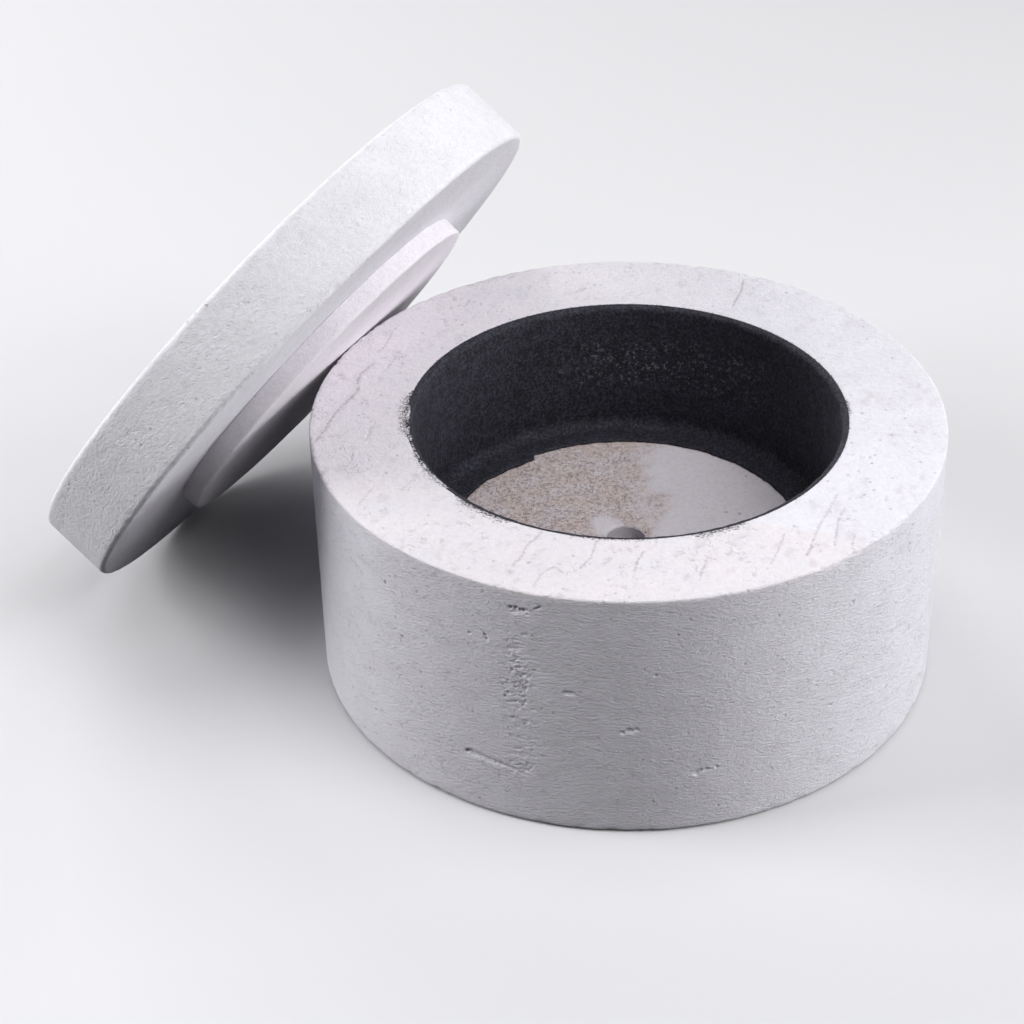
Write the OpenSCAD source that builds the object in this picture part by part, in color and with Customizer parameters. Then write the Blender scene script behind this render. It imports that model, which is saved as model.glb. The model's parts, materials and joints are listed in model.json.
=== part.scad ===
// Microwave kiln of ceramic fibre: a deep round body with a coated chamber, and a stepped lid
// that stands on its lower edge and leans on the body's rim.
// The origin is the centre of the body's flat underside, +Z points up. Millimetres.

/* [Body] */
// Outside diameter of the body
body_d = 160; // [140:1:190]
// Height of the body, from its flat underside to its rim
body_h = 69; // [58:1:90]
// Rounding of the body's outer edges
body_edge_r = 1.2; // [0.4:0.1:2.5]

/* [Chamber] */
// Diameter of the bare chamber, before it is coated
chamber_d = 110.5; // [96:0.5:124]
// Thickness of the insulation under the chamber
floor_t = 30.5; // [18:0.5:40]
// Diameter of the vent hole through the floor
vent_d = 10; // [5:0.5:16]
// Rounding of the rim's inner edge
mouth_edge_r = 0.5; // [0.2:0.1:1.2]

/* [Absorber coat] */
// Thickness of the black coat on the chamber's wall
coat_wall_t = 1.5; // [0.6:0.1:3]
// Thickness of the black coat on the floor
coat_floor_t = 1; // [0.6:0.1:3]
// Width of the black ring on the floor, from the bare wall inwards
coat_ring_w = 9.25; // [7:0.25:16]
// Radius of the cove where the coat turns from the wall onto the floor
coat_cove_r = 3; // [0.5:0.25:3.5]

/* [Floor wash] */
// Thickness of the light wash on the middle of the floor
wash_t = 0.5; // [0.3:0.05:1.2]
// How far the wash stops short of the vent hole's edge
wash_set_back = 1; // [0.5:0.25:3]
// Gap between the wash's edge and the black ring round it
wash_gap = 0.1; // [0.05:0.05:0.5]

/* [Lid] */
// Diameter of the lid disc
lid_d = 160; // [140:1:190]
// Thickness of the lid disc
lid_t = 20.5; // [14:0.5:30]
// Rounding of the lid disc's edges
lid_edge_r = 1.5; // [0.4:0.1:2.5]
// Thickness of the plug under the lid disc
plug_t = 5; // [3:0.25:9]
// Clearance all round between the plug and the coated wall when the lid is on
plug_clear = 3.25; // [1:0.25:6]
// Rounding of the plug's free edge
plug_edge_r = 0.8; // [0.3:0.1:1.5]

/* [Lean] */
// Angle between the leaning lid and the vertical
lean_deg = 36; // [25:1:45]
// Direction in which the lid stands, anticlockwise from +X
lean_dir_deg = 151; // [120:1:180]
// Sideways shift of the lid from the middle of that direction
lean_shift = 5; // [-12:1:12]
// Gap left between the plug's face and the rim that it leans on
lean_gap = 0.3; // [0.2:0.05:0.6]

/* [Hidden] */

round_fn = 180;
arc_steps = 6;

body_r = body_d / 2;
chamber_r = chamber_d / 2;
vent_r = vent_d / 2;
coat_inner_r = chamber_r - coat_wall_t;
coat_top_z = body_h - mouth_edge_r;
coat_floor_z = floor_t + coat_floor_t;
patch_r = chamber_r - coat_ring_w;
lid_r = lid_d / 2;
plug_r = coat_inner_r - plug_clear;
wash_outer_r = patch_r - wash_gap;
wash_inner_r = vent_r + wash_set_back;
wash_top_z = floor_t + wash_t;

// The lid stands on the lower edge of its underside. The flat of that edge ends where the
// rounding begins, so the edge's lowest point is worked out from the rounding's centre.
edge_drop = lid_edge_r * (cos(lean_deg) + sin(lean_deg) - 1);
lid_centre_z = lid_r * cos(lean_deg) - edge_drop;
// The plug's face clears the body's edge by lean_gap, measured from the rounding's centre.
rim_touch_x = body_r - body_edge_r;
rim_touch_z = body_h - body_edge_r;
face_reach = plug_t + lean_gap + body_edge_r;
lid_centre_x = rim_touch_x + (face_reach + (rim_touch_z - lid_centre_z) * sin(lean_deg)) / cos(lean_deg);

// Points of an arc about (x, z), from angle a0 to angle a1
function arc(x, z, r, a0, a1) =
    [for (i = [0 : arc_steps]) let (a = a0 + (a1 - a0) * i / arc_steps) [x + r * cos(a), z + r * sin(a)]];

// A solid of revolution about Z from an outline of [radius, height] points
module turned(outline) {
    rotate_extrude($fn = round_fn) polygon(outline);
}

// Places a lid piece, modelled with the disc's underside at z = 0 and the plug along +Z,
// where the lid leans on the rim
module leaning() {
    rotate([0, 0, lean_dir_deg])
        translate([lid_centre_x, lean_shift, lid_centre_z])
            rotate([0, -(90 + lean_deg), 0])
                children();
}

// Moulded fibre block with the chamber and the vent hole
module kiln_body() {
    color("#e6e2e6")
        turned(concat(
            [[vent_r, 0]],
            arc(body_r - body_edge_r, body_edge_r, body_edge_r, -90, 0),
            arc(body_r - body_edge_r, body_h - body_edge_r, body_edge_r, 0, 90),
            arc(chamber_r + mouth_edge_r, body_h - mouth_edge_r, mouth_edge_r, 90, 180),
            [[chamber_r, floor_t], [vent_r, floor_t]]
        ));
}

// Black coat: the chamber's wall, a cove, and a ring on the floor
module absorber_coat() {
    color("#26272e")
        turned(concat(
            [[patch_r, floor_t], [chamber_r, floor_t], [chamber_r, coat_top_z], [coat_inner_r, coat_top_z]],
            arc(coat_inner_r - coat_cove_r, coat_floor_z + coat_cove_r, coat_cove_r, 0, -90),
            [[patch_r, coat_floor_z]]
        ));
}

// Light wash on the floor, inside the black ring
module floor_wash() {
    color("#bdb2ae")
        turned([
            [wash_inner_r, floor_t], [wash_outer_r, floor_t],
            [wash_outer_r, wash_top_z], [wash_inner_r, wash_top_z]
        ]);
}

// Upper disc of the lid
module lid_disc() {
    color("#eceaf0")
        leaning()
            turned(concat(
                [[0, -lid_t]],
                arc(lid_r - lid_edge_r, -lid_t + lid_edge_r, lid_edge_r, -90, 0),
                arc(lid_r - lid_edge_r, -lid_edge_r, lid_edge_r, 0, 90),
                [[0, 0]]
            ));
}

// Plug on the lid's underside, which fits inside the coated chamber
module lid_plug() {
    color("#dddadd")
        leaning()
            turned(concat(
                [[0, 0], [plug_r, 0]],
                arc(plug_r - plug_edge_r, plug_t - plug_edge_r, plug_edge_r, 0, 90),
                [[0, plug_t]]
            ));
}

kiln_body();
absorber_coat();
floor_wash();
lid_disc();
lid_plug();
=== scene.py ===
"""A round microwave kiln of ceramic fibre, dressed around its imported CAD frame.

A deep body stands on the bench with its black coated chamber open upwards, and a stepped lid
stands on its lower edge and leans on the body's rim. Every visible piece is turned from a
section, worn with dents, pits and cracks, and given a procedural finish. Lengths are metres.
"""

from __future__ import annotations

import json
import logging
import math
import random
from dataclasses import dataclass, field
from enum import Enum
from typing import Callable, Sequence

import bmesh
import bpy
from mathutils import Matrix, Vector, kdtree, noise


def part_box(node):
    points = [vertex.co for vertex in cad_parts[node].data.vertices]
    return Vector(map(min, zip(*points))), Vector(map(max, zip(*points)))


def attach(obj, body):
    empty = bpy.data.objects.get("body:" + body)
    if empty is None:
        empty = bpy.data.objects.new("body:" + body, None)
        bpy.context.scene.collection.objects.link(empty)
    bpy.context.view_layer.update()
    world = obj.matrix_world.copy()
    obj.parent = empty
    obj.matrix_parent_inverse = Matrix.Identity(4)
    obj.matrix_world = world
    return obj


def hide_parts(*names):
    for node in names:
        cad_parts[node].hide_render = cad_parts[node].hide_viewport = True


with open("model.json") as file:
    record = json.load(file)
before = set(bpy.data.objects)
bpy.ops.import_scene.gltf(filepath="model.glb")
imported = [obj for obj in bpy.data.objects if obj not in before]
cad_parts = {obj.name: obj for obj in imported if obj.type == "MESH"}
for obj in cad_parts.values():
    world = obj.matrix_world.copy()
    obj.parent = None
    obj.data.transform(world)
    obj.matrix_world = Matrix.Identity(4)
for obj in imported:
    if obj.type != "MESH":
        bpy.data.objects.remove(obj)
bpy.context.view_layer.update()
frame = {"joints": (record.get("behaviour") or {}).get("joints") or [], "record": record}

LOG = logging.getLogger("kiln")
MM = 0.001
ORIGIN = Vector((0.0, 0.0, 0.0))
UP = Vector((0.0, 0.0, 1.0))
SECTORS = 16
SLACK = 1e-6
SHARP_FROM = math.radians(50)
SAMPLE_GAP = 0.3 * MM

Colour = tuple[float, float, float]
Path = Sequence[tuple[float, float]]
Socket = bpy.types.NodeSocket


class Rides(Enum):
    """CAD bodies that pieces ride on."""

    KILN = "body"
    LID = "lid"


class Slot(Enum):
    """Material slots of the record."""

    BODY_FIBRE = "body_fibre"
    ABSORBER = "absorber"
    WASH = "wash"
    LID_FIBRE = "lid_fibre"
    PLUG_FIBRE = "plug_fibre"


class Wear(Enum):
    """Names of the point attributes that carry wear, and the band of painted glints on the coat, from the
    meshes to the finishes.
    """

    STAIN = "stain"
    SOOT = "soot"
    RAW = "raw"
    THIN = "thin"
    GRIT = "grit"
    RUBBED = "rubbed"
    DUSTED = "dusted"
    GLINT_BAND = "glint_band"


def tone(red: int, green: int, blue: int) -> Colour:
    """Turn a colour from screen values of 0 to 255 into the linear ones that shaders use."""
    shares = (part / 255 for part in (red, green, blue))
    return tuple(s / 12.92 if s <= 0.04045 else ((s + 0.055) / 1.055) ** 2.4 for s in shares)


def ease(value: float, low: float, high: float) -> float:
    """Rise smoothly from 0 at low to 1 at high, or fall where high is the smaller."""
    share = min(1.0, max(0.0, (value - low) / (high - low)))
    return share * share * (3 - 2 * share)


def swell(place: Vector, size: float) -> float:
    """Read smooth noise at a place, from about -1 to 1, with lumps of a given width."""
    return noise.noise(place / size)


def round_the_clock(degrees: float, middle: float) -> float:
    """Give how far a direction is from another the short way round, -180 to 180 degrees."""
    return (degrees - middle + 180) % 360 - 180


def bearing(place: Vector) -> float:
    """Give the direction of a place from the upright axis, in degrees anticlockwise from +X."""
    return math.degrees(math.atan2(place.y, place.x))


def outwards(place: Vector) -> Vector:
    """Give the level unit vector from the upright axis towards a place."""
    return place.xy.normalized().to_3d()


def on_cylinder(radius: float, degrees: float, height: float) -> Vector:
    """Give the point of a cylinder at a direction and a height in millimetres."""
    angle = math.radians(degrees)
    return Vector((radius * math.cos(angle), radius * math.sin(angle), height * MM))


def new_layers(bm: bmesh.types.BMesh, *wears: Wear) -> dict[Wear, bmesh.types.BMLayerItem]:
    """Add a point attribute to a mesh for each kind of wear."""
    return {wear: bm.verts.layers.float.new(wear.value) for wear in wears}


# ---------------------------------------------------------------------------------------------
# Turned shapes and their wear


@dataclass(frozen=True)
class Station:
    """A point of a section.

    Attributes:
        radius: Distance from the axis.
        height: Height along the axis.
        pitch: Longest row between this point and the next one.
    """

    radius: float
    height: float
    pitch: float = 1.0


def fillet(radius: float, height: float, size: float, start: float, stop: float) -> list[Station]:
    """Lay out a rounded corner of a section.

    Args:
        radius: Radius of the rounding's centre.
        height: Height of the rounding's centre.
        size: Radius of the rounding.
        start: First angle in degrees, 0 outwards and 90 up.
        stop: Last angle in degrees.

    Returns:
        Stations along the arc, both ends included.
    """
    steps = max(3, min(6, round(size / (0.25 * MM))))
    angles = [math.radians(start + (stop - start) * i / steps) for i in range(steps + 1)]
    return [Station(radius + size * math.cos(a), height + size * math.sin(a)) for a in angles]


def turned(section: Sequence[Station], steps: int) -> bmesh.types.BMesh:
    """Spin a section about the vertical axis into a closed solid.

    A section that starts and ends on the axis is left open there, and its poles are merged.

    Args:
        section: Stations in order round the section.
        steps: Segments of the full turn.

    Returns:
        The turned mesh, its faces outwards.
    """
    bm = bmesh.new()
    corners = [bm.verts.new((s.radius, 0.0, s.height)) for s in section]
    cuts_layer = bm.edges.layers.int.new("cuts")
    ends = list(zip(section, corners, corners[1:] + corners[:1]))
    if section[0].radius == 0.0:
        ends = ends[:-1]
    for station, start, stop in ends:
        edge = bm.edges.new((start, stop))
        edge[cuts_layer] = math.ceil(edge.calc_length() / station.pitch - SLACK) - 1
    for cuts in sorted({e[cuts_layer] for e in bm.edges} - {0}):
        wanted = [e for e in bm.edges if e[cuts_layer] == cuts]
        bmesh.ops.subdivide_edges(bm, edges=wanted, cuts=cuts)
    bm.edges.layers.int.remove(cuts_layer)
    sector = math.tau / SECTORS
    spin = dict(cent=ORIGIN, axis=UP, dvec=ORIGIN)
    bmesh.ops.spin(bm, geom=bm.verts[:] + bm.edges[:], angle=sector, steps=steps // SECTORS, **spin)
    whole = bm.verts[:] + bm.edges[:] + bm.faces[:]
    bmesh.ops.spin(bm, geom=whole, angle=math.tau - sector, steps=SECTORS - 1, use_duplicate=True, **spin)
    bmesh.ops.remove_doubles(bm, verts=bm.verts[:], dist=SLACK)
    bmesh.ops.recalc_face_normals(bm, faces=bm.faces[:])
    return bm


@dataclass(frozen=True)
class Mark:
    """One sample of a dent, pit or crack.

    Attributes:
        reach: How far from its centre it goes.
        depth: How deep it is at its centre.
        stain: How dark its bottom is, 0 to 1.
    """

    reach: float
    depth: float
    stain: float


@dataclass
class Wounds:
    """All dents, pits and cracks of a piece, found by place.

    Attributes:
        at: Turns a pair of surface coordinates into a point.
        seed: Seed of the random draws.
    """

    at: Callable[[float, float], Vector]
    seed: int
    samples: list[tuple[Vector, Mark]] = field(default_factory=list)
    widest: float = 0.0

    def __post_init__(self) -> None:
        """Start the random draws."""
        self.rng = random.Random(self.seed)

    def stroke(
        self, path: Path, reach: float, depth: float, stain: float, wander: float = 0.25, taper: float = 0.0
    ) -> None:
        """Cut a groove or crack along a path.

        Args:
            path: Surface coordinates of its corners.
            reach: Half its width in millimetres.
            depth: Its depth in millimetres.
            stain: How dark its bottom is.
            wander: How unsteady it is, as a share of its reach.
            taper: How much smaller it is at the path's end, as a share.
        """
        reach, depth = reach * MM, depth * MM
        for leg, ((a0, b0), (a1, b1)) in enumerate(zip(path, path[1:])):
            span = (self.at(a1, b1) - self.at(a0, b0)).length
            count = max(1, round(span / SAMPLE_GAP))
            for i in range(count + 1):
                t = i / count
                place = self.at(a0 + (a1 - a0) * t, b0 + (b1 - b0) * t)
                drift = Vector((self.rng.uniform(-1, 1) for _ in range(3))) * wander * reach
                size = (1 + self.rng.uniform(-1, 1) * wander) * (1 - taper * (leg + t) / (len(path) - 1))
                self.samples.append((place + drift, Mark(reach * size, depth * size, stain)))
                self.widest = max(self.widest, reach * size)

    def dot(self, a: float, b: float, reach: float, depth: float, stain: float) -> None:
        """Press one round pit."""
        self.stroke([(a, b), (a, b)], reach, depth, stain, 0.12)

    def close(self) -> None:
        """Sort the samples, so that they can be looked up."""
        self.tree = kdtree.KDTree(len(self.samples))
        for index, (place, _) in enumerate(self.samples):
            self.tree.insert(place, index)
        self.tree.balance()

    def read(self, place: Vector) -> tuple[float, float]:
        """Look up the wear at a place.

        Args:
            place: A point of the undamaged surface.

        Returns:
            The depth to push it in, and how stained it is.
        """
        depth = stain = 0.0
        for _, index, away in self.tree.find_range(place, self.widest):
            mark = self.samples[index][1]
            if away < mark.reach:
                share = 1 - (away / mark.reach) ** 2
                depth = max(depth, mark.depth * share)
                stain = max(stain, mark.stain * share)
        return depth, stain

    def near(self, place: Vector, margin: float, least: float) -> bool:
        """Tell whether a mark at least so deep is within a margin of a place."""
        found = self.tree.find_range(place, margin)
        return any(self.samples[index][1].depth >= least for _, index, _ in found)


def refine(bm: bmesh.types.BMesh, wanted: Callable[[Vector], bool]) -> None:
    """Halve the rows and columns of the faces in some places.

    Args:
        bm: The mesh.
        wanted: Says of a face's centre whether that face is cut.
    """
    faces = [f for f in bm.faces if wanted(f.calc_center_median())]
    edges = {e for f in faces for e in f.edges}
    bmesh.ops.subdivide_edges(bm, edges=list(edges), cuts=1, use_grid_fill=True)
    bm.normal_update()


@dataclass
class Piece:
    """A dressed piece of the kiln.

    Attributes:
        name: Name of its object.
        node: CAD node that it stands for.
        rides: CAD body that it moves with.
        slot: Material slot of the record.
    """

    name: str
    node: str
    rides: Rides
    slot: Slot

    def set_down(self, bm: bmesh.types.BMesh, finish: bpy.types.Material) -> bpy.types.Object:
        """Turn a finished mesh into an object of the scene.

        Args:
            bm: The mesh, which is freed.
            finish: Its material.

        Returns:
            The object.
        """
        mesh = bpy.data.meshes.new(self.name)
        bm.to_mesh(mesh)
        bm.free()
        mesh.shade_smooth()
        mesh.set_sharp_from_angle(angle=SHARP_FROM)
        mesh.materials.append(finish)
        piece = bpy.data.objects.new(self.name, mesh)
        bpy.context.scene.collection.objects.link(piece)
        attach(piece, self.rides.value)
        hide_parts(self.node)
        mesh.calc_loop_triangles()
        LOG.info("%s: %d triangles", self.name, len(mesh.loop_triangles))
        return piece


# ---------------------------------------------------------------------------------------------
# Finishes


class Tree:
    """Lays out the nodes of a material or of the surroundings."""

    def __init__(self, tree: bpy.types.NodeTree) -> None:
        """Take over the tree's nodes and links."""
        self.nodes, self.links = tree.nodes, tree.links

    def wire(self, socket: Socket, value: Socket | float | Colour) -> None:
        """Join a socket to another one, or set it to a number or a colour."""
        if isinstance(value, bpy.types.NodeSocket):
            self.links.new(value, socket)
        elif isinstance(value, tuple) and len(socket.default_value) == 4:
            socket.default_value = (*value, 1.0)
        else:
            socket.default_value = value

    def add(
        self, kind: str, values: dict[str | int, Socket | float | Colour], **settings: str
    ) -> bpy.types.Node:
        """Add a node.

        Args:
            kind: Its type, without the words that all types start with.
            values: What its inputs are joined or set to, by their names or numbers.
            settings: Its properties, which are set first.

        Returns:
            The node.
        """
        node = self.nodes.new("ShaderNode" + kind)
        for key, setting in settings.items():
            setattr(node, key, setting)
        for key, value in values.items():
            self.wire(node.inputs[key], value)
        return node

    def sum(self, kind: str, first: Socket | float, second: Socket | float = 0.0) -> Socket:
        """Do one sum with two values, of a kind that the Math node knows."""
        return self.add("Math", {0: first, 1: second}, operation=kind).outputs["Value"]

    def times(self, first: Socket | float, second: Socket | float) -> Socket:
        """Multiply two values."""
        return self.sum("MULTIPLY", first, second)

    def total(self, terms: Sequence[tuple[Socket, float]]) -> Socket:
        """Add up values, each multiplied by its weight."""
        whole = self.times(*terms[0])
        for value, weight in terms[1:]:
            whole = self.sum("ADD", whole, self.times(value, weight))
        return whole

    def span(self, value: Socket, low: float, high: float, first: float = 0.0, last: float = 1.0) -> Socket:
        """Map a range of values onto another, held at its ends.

        Args:
            value: The value.
            low: Value that gives first.
            high: Value that gives last.
            first: Result at and before low.
            last: Result at and after high.

        Returns:
            The mapped value.
        """
        ends = {"From Min": low, "From Max": high, "To Min": first, "To Max": last}
        return self.add("MapRange", {"Value": value, **ends}).outputs["Result"]

    def blend(self, share: Socket, first: Socket | Colour, second: Socket | Colour) -> Socket:
        """Blend two colours by the share of the second."""
        return self.add("Mix", {0: share, 6: first, 7: second}, data_type="RGBA").outputs[2]

    def seen(self) -> Socket:
        """Give 1 for rays from the camera, a gloss or a glass, and 0 for diffuse ones."""
        rays = self.add("LightPath", {}).outputs
        direct = self.sum("MAXIMUM", rays["Is Camera Ray"], rays["Is Glossy Ray"])
        return self.sum("MAXIMUM", direct, rays["Is Transmission Ray"])


class Bench(Tree):
    """Lays out the nodes of one material."""

    def __init__(self, name: str, roughness: float, gloss: float) -> None:
        """Start a material with a plain shader.

        Args:
            name: Name of the material.
            roughness: Roughness of the surface.
            gloss: Specular level of the surface.
        """
        self.material = bpy.data.materials.new(name)
        self.material.use_nodes = True
        super().__init__(self.material.node_tree)
        self.shader = self.nodes["Principled BSDF"]
        self.wire(self.shader.inputs["Roughness"], roughness)
        self.wire(self.shader.inputs["Specular IOR Level"], gloss)

    def place(
        self, scale: Colour = (1, 1, 1), origin: Vector = ORIGIN, turn: Sequence[float] = (0, 0, 0)
    ) -> Socket:
        """Read a point's place on the object, in metres.

        Args:
            scale: How much a pattern is stretched along each axis.
            origin: Where the pattern's axes start.
            turn: Euler angles of the pattern's axes.

        Returns:
            The place.
        """
        coords = self.add("TexCoord", {}).outputs["Object"]
        axes = {"Location": origin, "Rotation": turn, "Scale": scale}
        return self.add("Mapping", {"Vector": coords, **axes}, vector_type="TEXTURE").outputs["Vector"]

    def out(self, place: Socket) -> Socket:
        """Read the distance from the upright axis."""
        squares = [self.times(part, part) for part in self.add("SeparateXYZ", {0: place}).outputs[:2]]
        return self.sum("SQRT", self.sum("ADD", *squares))

    def bristled(self, place: Socket, radius: float, stretch: float) -> Socket:
        """Unroll the space round the upright axis, so that a pattern runs in and out.

        Args:
            place: Place on the object.
            radius: Radius at which lengths round the axis are true.
            stretch: Length of the pattern along the radius, as a share of its length round the axis.

        Returns:
            The unrolled place.
        """
        split = self.add("SeparateXYZ", {0: place}).outputs
        around = self.times(self.sum("ARCTAN2", split["Y"], split["X"]), radius)
        inwards = self.sum("DIVIDE", self.out(place), stretch)
        return self.add("CombineXYZ", {"X": around, "Y": inwards, "Z": split["Z"]}).outputs["Vector"]

    def wear(self, name: Wear) -> Socket:
        """Read a point attribute."""
        return self.add("Attribute", {}, attribute_name=name.value).outputs["Fac"]

    def noise(
        self, place: Socket, size: float, detail: float = 2.0, rough: float = 0.5, bend: float = 0.0
    ) -> Socket:
        """Make soft noise.

        Args:
            place: Where it is read.
            size: Width of its lumps.
            detail: Finer layers on top.
            rough: Strength of the finer layers.
            bend: How much it is bent.

        Returns:
            The noise, about 0.5.
        """
        lumps = {"Scale": 1 / size, "Detail": detail, "Roughness": rough, "Distortion": bend}
        return self.add("TexNoise", {"Vector": place, **lumps}).outputs["Fac"]

    def cells(self, place: Socket, size: float) -> tuple[Socket, Socket]:
        """Read the distance from the middle of a round cell of some width, and its random colour."""
        found = self.add("TexVoronoi", {"Vector": place, "Scale": 1 / size}).outputs
        return found["Distance"], found["Color"]

    def parts(self, colour: Socket) -> tuple[Socket, Socket, Socket]:
        """Split a colour into its three parts."""
        return tuple(self.add("SeparateColor", {"Color": colour}).outputs)

    def worms(self, place: Socket, size: float, line: float, share: float) -> Socket:
        """Make short curled pits, as between felted fibres.

        Args:
            place: Where they are read.
            size: Width of a curl.
            line: Width of a pit, as a share of the noise's range.
            share: Level of a second noise above which pits show.

        Returns:
            1 in a pit, 0 outside.
        """
        ridge = self.sum("ABSOLUTE", self.sum("SUBTRACT", self.noise(place, size, 2.0, 0.55, 0.3), 0.5))
        patch = self.span(self.noise(place, size * 4, 1.0), share, share + 0.07)
        broken = self.span(self.noise(place, size * 0.75, 1.0), 0.52, 0.6)
        curl = self.span(ridge, 0.0, line, 1.0, 0.0)
        return self.times(self.times(curl, patch), broken)

    def pinholes(self, place: Socket, size: float, share: float) -> Socket:
        """Make scattered round pits.

        Args:
            place: Where they are read.
            size: Space between them.
            share: Share of the cells left without one.

        Returns:
            1 in a pit, 0 outside.
        """
        away, colour = self.cells(place, size)
        chosen = self.span(self.parts(colour)[0], share, share + 0.02)
        return self.times(self.span(away, 0.10, 0.2, 1.0, 0.0), chosen)

    def cover(self, colour: Socket, height: Socket, depth: float) -> bpy.types.Material:
        """Join the colour and the relief to the shader.

        Args:
            colour: Base colour.
            height: Height of the relief, 0 to 1.
            depth: Depth that a height of 1 stands for.

        Returns:
            The finished material.
        """
        bump = self.add("Bump", {"Height": height, "Distance": depth})
        self.wire(self.shader.inputs["Normal"], bump.outputs["Normal"])
        self.wire(self.shader.inputs["Base Color"], colour)
        return self.material


@dataclass(frozen=True)
class FibreFinish:
    """Matt ceramic fibre with felted streaks, curled pits with painted shade in them, and stains.

    Attributes:
        name: Name of the material.
        skin: Colour of the smooth moulded skin.
        raw: Colour of the cut fibre under it.
        pit: Colour of the painted shade inside pits and in the troughs of the streaks.
        stain: Colour at the bottom of cracks.
        soot: Colour of the black smeared from the coat.
        dust: Colour of the wash that dusts the floor.
        squeeze: How much flatter than long the streaks are.
        pitted: Noise level above which curled pits show.
        curls: How strong the painted shade in the curled pits is, 0 to 1.
        relief: Depth of the surface's fine relief.
        mouth: Radius of a mouth with black smeared over its edge, or 0.
        origin: Where the pattern's axes start.
        turn: Euler angles of the pattern's axes.
    """

    name: str
    skin: Colour
    raw: Colour
    pit: Colour = tone(150, 142, 148)
    stain: Colour = tone(136, 116, 116)
    soot: Colour = tone(38, 37, 42)
    dust: Colour = tone(222, 217, 224)
    squeeze: float = 2.8
    pitted: float = 0.49
    curls: float = 0.06
    relief: float = 0.42 * MM
    mouth: float = 0.0
    origin: Vector = ORIGIN
    turn: tuple[float, float, float] = (0.0, 0.0, 0.0)

    def material(self) -> bpy.types.Material:
        """Make the material."""
        bench = Bench(self.name, 0.92, 0.2)
        place = bench.place((1, 1, 1), self.origin, self.turn)
        flat = bench.place((1, 1, 1 / self.squeeze), self.origin, self.turn)
        streaks = bench.noise(flat, 1.4 * MM, 4.0, 0.7, 0.2)
        felt = bench.noise(place, 0.42 * MM, 2.0, 0.6)
        clouds = bench.noise(place, 9 * MM, 3.0, 0.55)
        worms = bench.worms(flat, 1.7 * MM, 0.06, self.pitted)
        pinholes = bench.pinholes(place, 2.6 * MM, 0.86)
        bare = bench.wear(Wear.RAW)
        raw = bench.times(bare, bench.span(clouds, 0.35, 0.6, 0.45, 1.0))
        colour = bench.blend(raw, self.skin, self.raw)
        # Painted shade: darker towards the pit colour where the streaks and felt are low, as in the relief's
        # troughs; the large clouds vary it at random.
        shade = bench.total([(streaks, 0.9), (felt, 0.5), (clouds, 0.5)])
        colour = bench.blend(bench.span(shade, 1.15, 0.75, 0.0, 0.18), colour, self.pit)
        # Painted shade in the curled pits, stronger on raw fibre.
        curled = bench.times(worms, bench.span(bare, 0.0, 1.0, self.curls, self.curls + 0.22))
        colour = bench.blend(curled, colour, self.pit)
        # Painted shade in the pinholes.
        colour = bench.blend(bench.times(pinholes, 0.4), colour, self.pit)
        broken = bench.times(bench.wear(Wear.STAIN), bench.span(felt, 0.35, 0.6, 0.45, 1.0))
        colour = bench.blend(broken, colour, self.stain)
        if self.mouth:
            colour = bench.blend(bench.wear(Wear.DUSTED), colour, self.dust)
            colour = bench.blend(self.smeared(bench, place), colour, self.soot)
        relief = bench.total([(streaks, 1.0), (felt, 0.25), (worms, -0.35), (pinholes, -0.3)])
        return bench.cover(colour, relief, self.relief)

    def smeared(self, bench: Bench, place: Socket) -> Socket:
        """Break up the black that was smeared over the mouth's edge.

        Args:
            bench: Bench of the material.
            place: Place on the object.

        Returns:
            1 where black covers the fibre, 0 elsewhere.
        """
        out = bench.times(bench.sum("SUBTRACT", bench.out(place), self.mouth), 1 / MM)
        reach = bench.wear(Wear.SOOT)
        share = bench.sum("SUBTRACT", 1.0, bench.sum("DIVIDE", out, bench.sum("MAXIMUM", reach, 0.01)))
        strokes = bench.noise(bench.bristled(place, self.mouth, 0.4), 1.0 * MM, 3.0, 0.7)
        grain = bench.noise(place, 0.6 * MM, 2.0, 0.6)
        bristle = bench.sum("SUBTRACT", bench.total([(strokes, 1.0), (grain, 0.8)]), 0.9)
        black = bench.sum("ADD", share, bench.times(bristle, 2.4))
        return bench.times(bench.span(black, 0.3, 1.1), bench.span(reach, 0.05, 0.2))


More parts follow.
